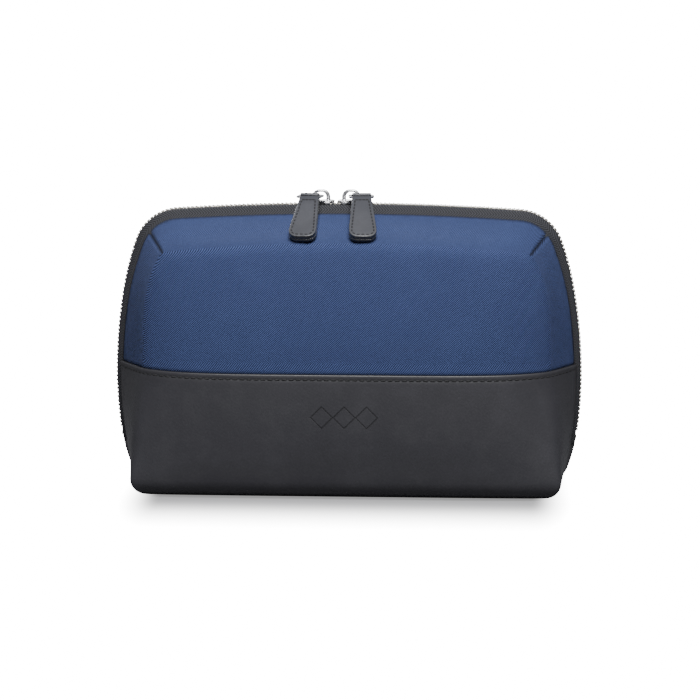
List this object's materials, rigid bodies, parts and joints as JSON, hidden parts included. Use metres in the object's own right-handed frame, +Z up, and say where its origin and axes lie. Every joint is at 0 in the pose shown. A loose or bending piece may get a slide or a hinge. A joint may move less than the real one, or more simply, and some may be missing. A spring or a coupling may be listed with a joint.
{
  "type": "shaving kit bag",
  "caption": "Zip-around shaving kit bag with a padded fabric upper, a leather wrap, a metal zip with two sliders and leather pulls.",
  "frame": {"origin": "centre of the base on the floor", "axes": "+X to the right along the bag's length as seen from the front, -Y towards the front with the zip pulls, +Z up"},
  "size_m": [0.2738, 0.1014, 0.1735],
  "materials": {
    "navy_fabric": "matte",
    "black_leather": "satin",
    "pull_leather": "satin",
    "lining_fabric": "matte",
    "foam": "matte",
    "board": "matte",
    "zip_tape": "matte",
    "zip_metal": "polished",
    "thread": "matte",
    "binding": "matte"
  },
  "bodies": {
    "base": {"base_leather": "black_leather", "base_foam": "foam", "base_board": "board", "base_lining": "lining_fabric", "left_zip_stop": "zip_metal", "right_zip_stop": "zip_metal"},
    "front_wall": {"front_leather_band": "black_leather", "front_upper_panel": "navy_fabric", "front_foam": "foam", "front_lining": "lining_fabric", "front_zip_tape": "zip_tape", "front_zip_teeth": "zip_metal", "front_seam_binding": "binding", "front_band_stitching": "thread"},
    "rear_wall": {"rear_leather_band": "black_leather", "rear_upper_panel": "navy_fabric", "rear_foam": "foam", "rear_lining": "lining_fabric", "rear_zip_tape": "zip_tape", "rear_zip_teeth": "zip_metal", "rear_seam_binding": "binding", "rear_band_stitching": "thread", "inner_pocket": "lining_fabric", "pocket_hem": "binding"},
    "left_slider": {"left_slider_body": "zip_metal", "left_slider_crown": "zip_metal"},
    "left_pull_ring": {"left_ring": "zip_metal"},
    "left_pull": {"left_pull_leather": "pull_leather", "left_pull_filler": "pull_leather", "left_pull_stitching": "thread"},
    "right_slider": {"right_slider_body": "zip_metal", "right_slider_crown": "zip_metal"},
    "right_pull_ring": {"right_ring": "zip_metal"},
    "right_pull": {"right_pull_leather": "pull_leather", "right_pull_filler": "pull_leather", "right_pull_stitching": "thread"}
  },
  "joints": [
    {"name": "front_wall_fold", "type": "hinge", "parent": "base", "child": "front_wall", "pos_m": [0, -0.0506, 0.028], "axis": [1, 0, 0], "range_deg": [0, 35], "deforming": ["front_zip_teeth"]},
    {"name": "rear_wall_fold", "type": "hinge", "parent": "base", "child": "rear_wall", "pos_m": [0, 0.0506, 0.028], "axis": [-1, 0, 0], "range_deg": [0, 35], "deforming": ["rear_zip_teeth"]},
    {"name": "left_slider_travel", "type": "hinge", "parent": "front_wall", "child": "left_slider", "pos_m": [0, 0, -1.335], "axis": [0, -1, 0], "range_deg": [0, 2.8]},
    {"name": "left_ring_lift", "type": "hinge", "parent": "left_slider", "child": "left_pull_ring", "pos_m": [-0.0215, 0, 0.16993], "axis": [-0.9877, 0.1564, 0], "range_deg": [0, 32]},
    {"name": "left_pull_swing", "type": "hinge", "parent": "left_pull_ring", "child": "left_pull", "pos_m": [-0.02275, -0.0079, 0.16993], "axis": [-0.9877, 0.1564, 0], "range_deg": [0, 120]},
    {"name": "right_slider_travel", "type": "hinge", "parent": "front_wall", "child": "right_slider", "pos_m": [0, 0, -1.335], "axis": [0, 1, 0], "range_deg": [0, 3.3]},
    {"name": "right_ring_lift", "type": "hinge", "parent": "right_slider", "child": "right_pull_ring", "pos_m": [0.0075, 0, 0.17], "axis": [-0.9976, -0.0698, 0], "range_deg": [0, 32]},
    {"name": "right_pull_swing", "type": "hinge", "parent": "right_pull_ring", "child": "right_pull", "pos_m": [0.00806, -0.00798, 0.17], "axis": [-0.9976, -0.0698, 0], "range_deg": [0, 120]}
  ]
}
